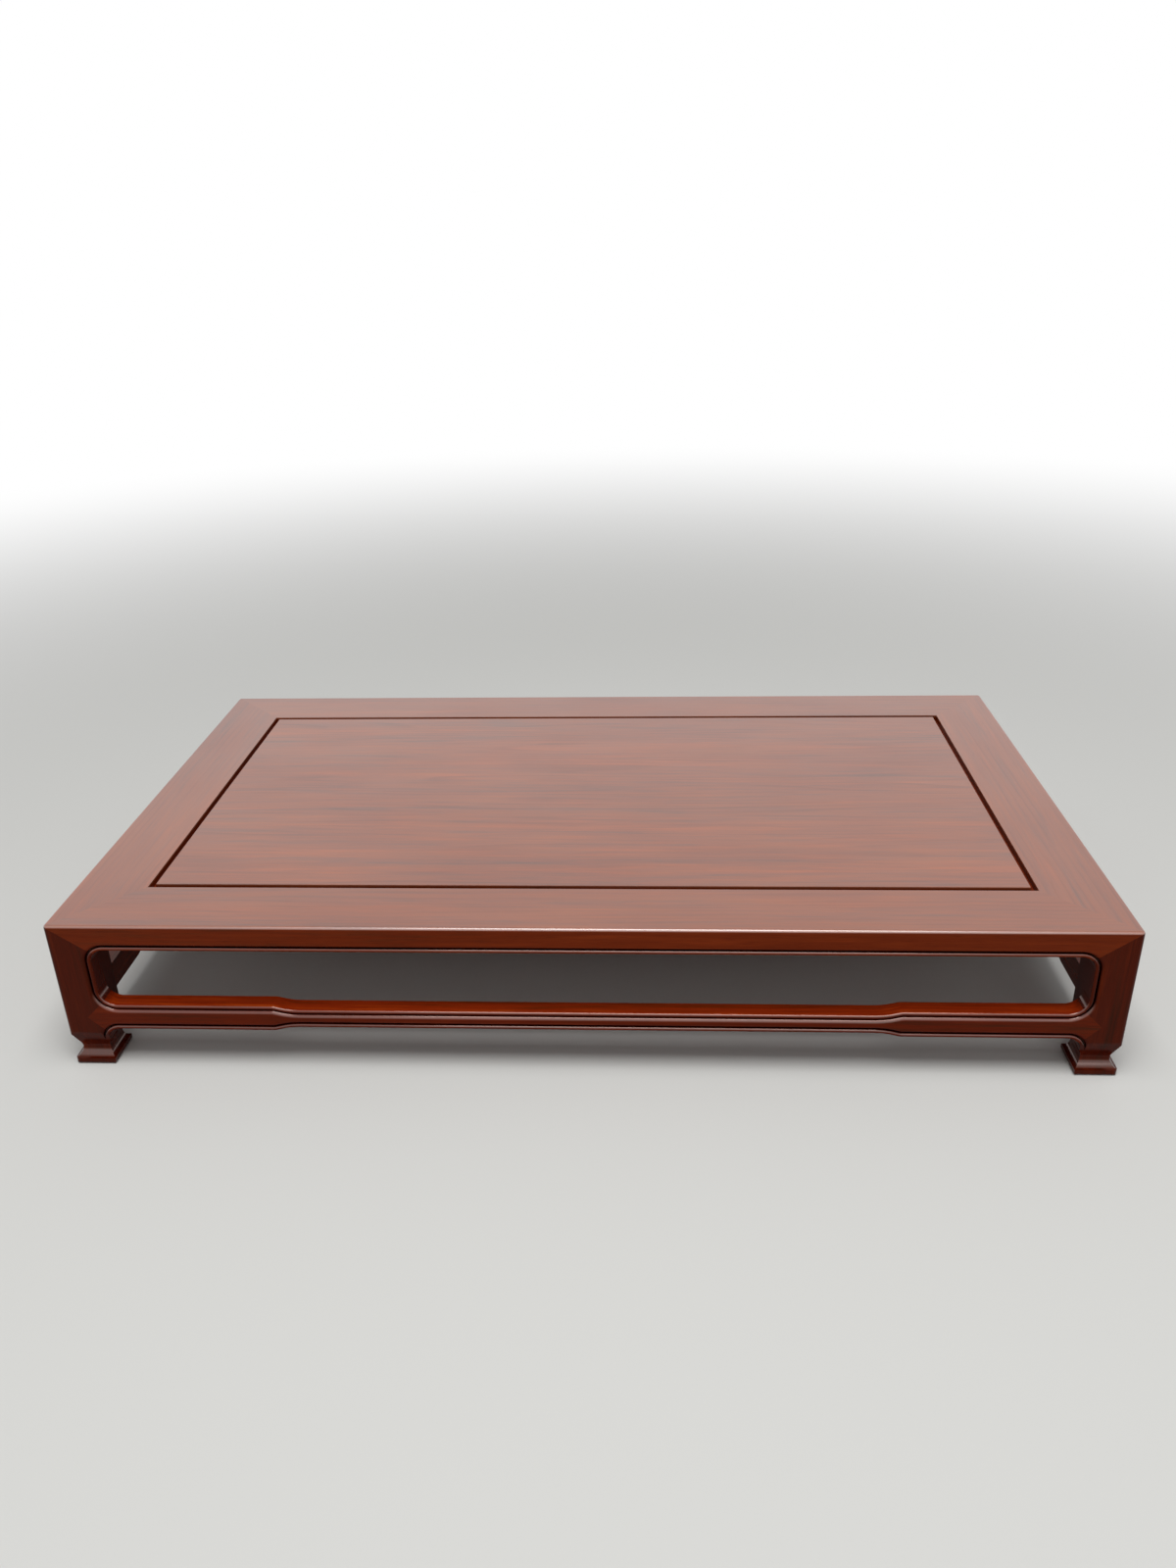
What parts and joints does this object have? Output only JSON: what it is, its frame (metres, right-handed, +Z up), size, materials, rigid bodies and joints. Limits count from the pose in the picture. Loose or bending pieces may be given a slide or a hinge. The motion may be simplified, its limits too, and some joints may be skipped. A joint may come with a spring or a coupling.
{
  "type": "display table",
  "caption": "Low rectangular display table: mitred frame round a floating panel, square legs with cut-in ankles and flared feet, and low waisted stretchers mitred into the legs.",
  "frame": {"origin": "on the floor under the middle of the table", "axes": "+X along the table's length, to the right seen from its front; +Y from front to back; +Z up"},
  "size_m": [0.6, 0.35, 0.095],
  "materials": {
    "frame_wood": "gloss lacquer over red-brown hardwood",
    "panel_wood": "gloss lacquer over red-brown hardwood",
    "batten_wood": "satin lacquer over red-brown hardwood",
    "leg_wood": "gloss lacquer over dark red hardwood",
    "stretcher_wood": "gloss lacquer over dark red hardwood"
  },
  "bodies": {
    "root": {"front_rail": "frame_wood", "back_rail": "frame_wood", "left_rail": "frame_wood", "right_rail": "frame_wood", "top_panel": "panel_wood", "left_batten": "batten_wood", "right_batten": "batten_wood", "front_left_leg": "leg_wood", "front_right_leg": "leg_wood", "back_left_leg": "leg_wood", "back_right_leg": "leg_wood", "front_stretcher": "stretcher_wood", "back_stretcher": "stretcher_wood", "left_stretcher": "stretcher_wood", "right_stretcher": "stretcher_wood"}
  },
  "joints": []
}
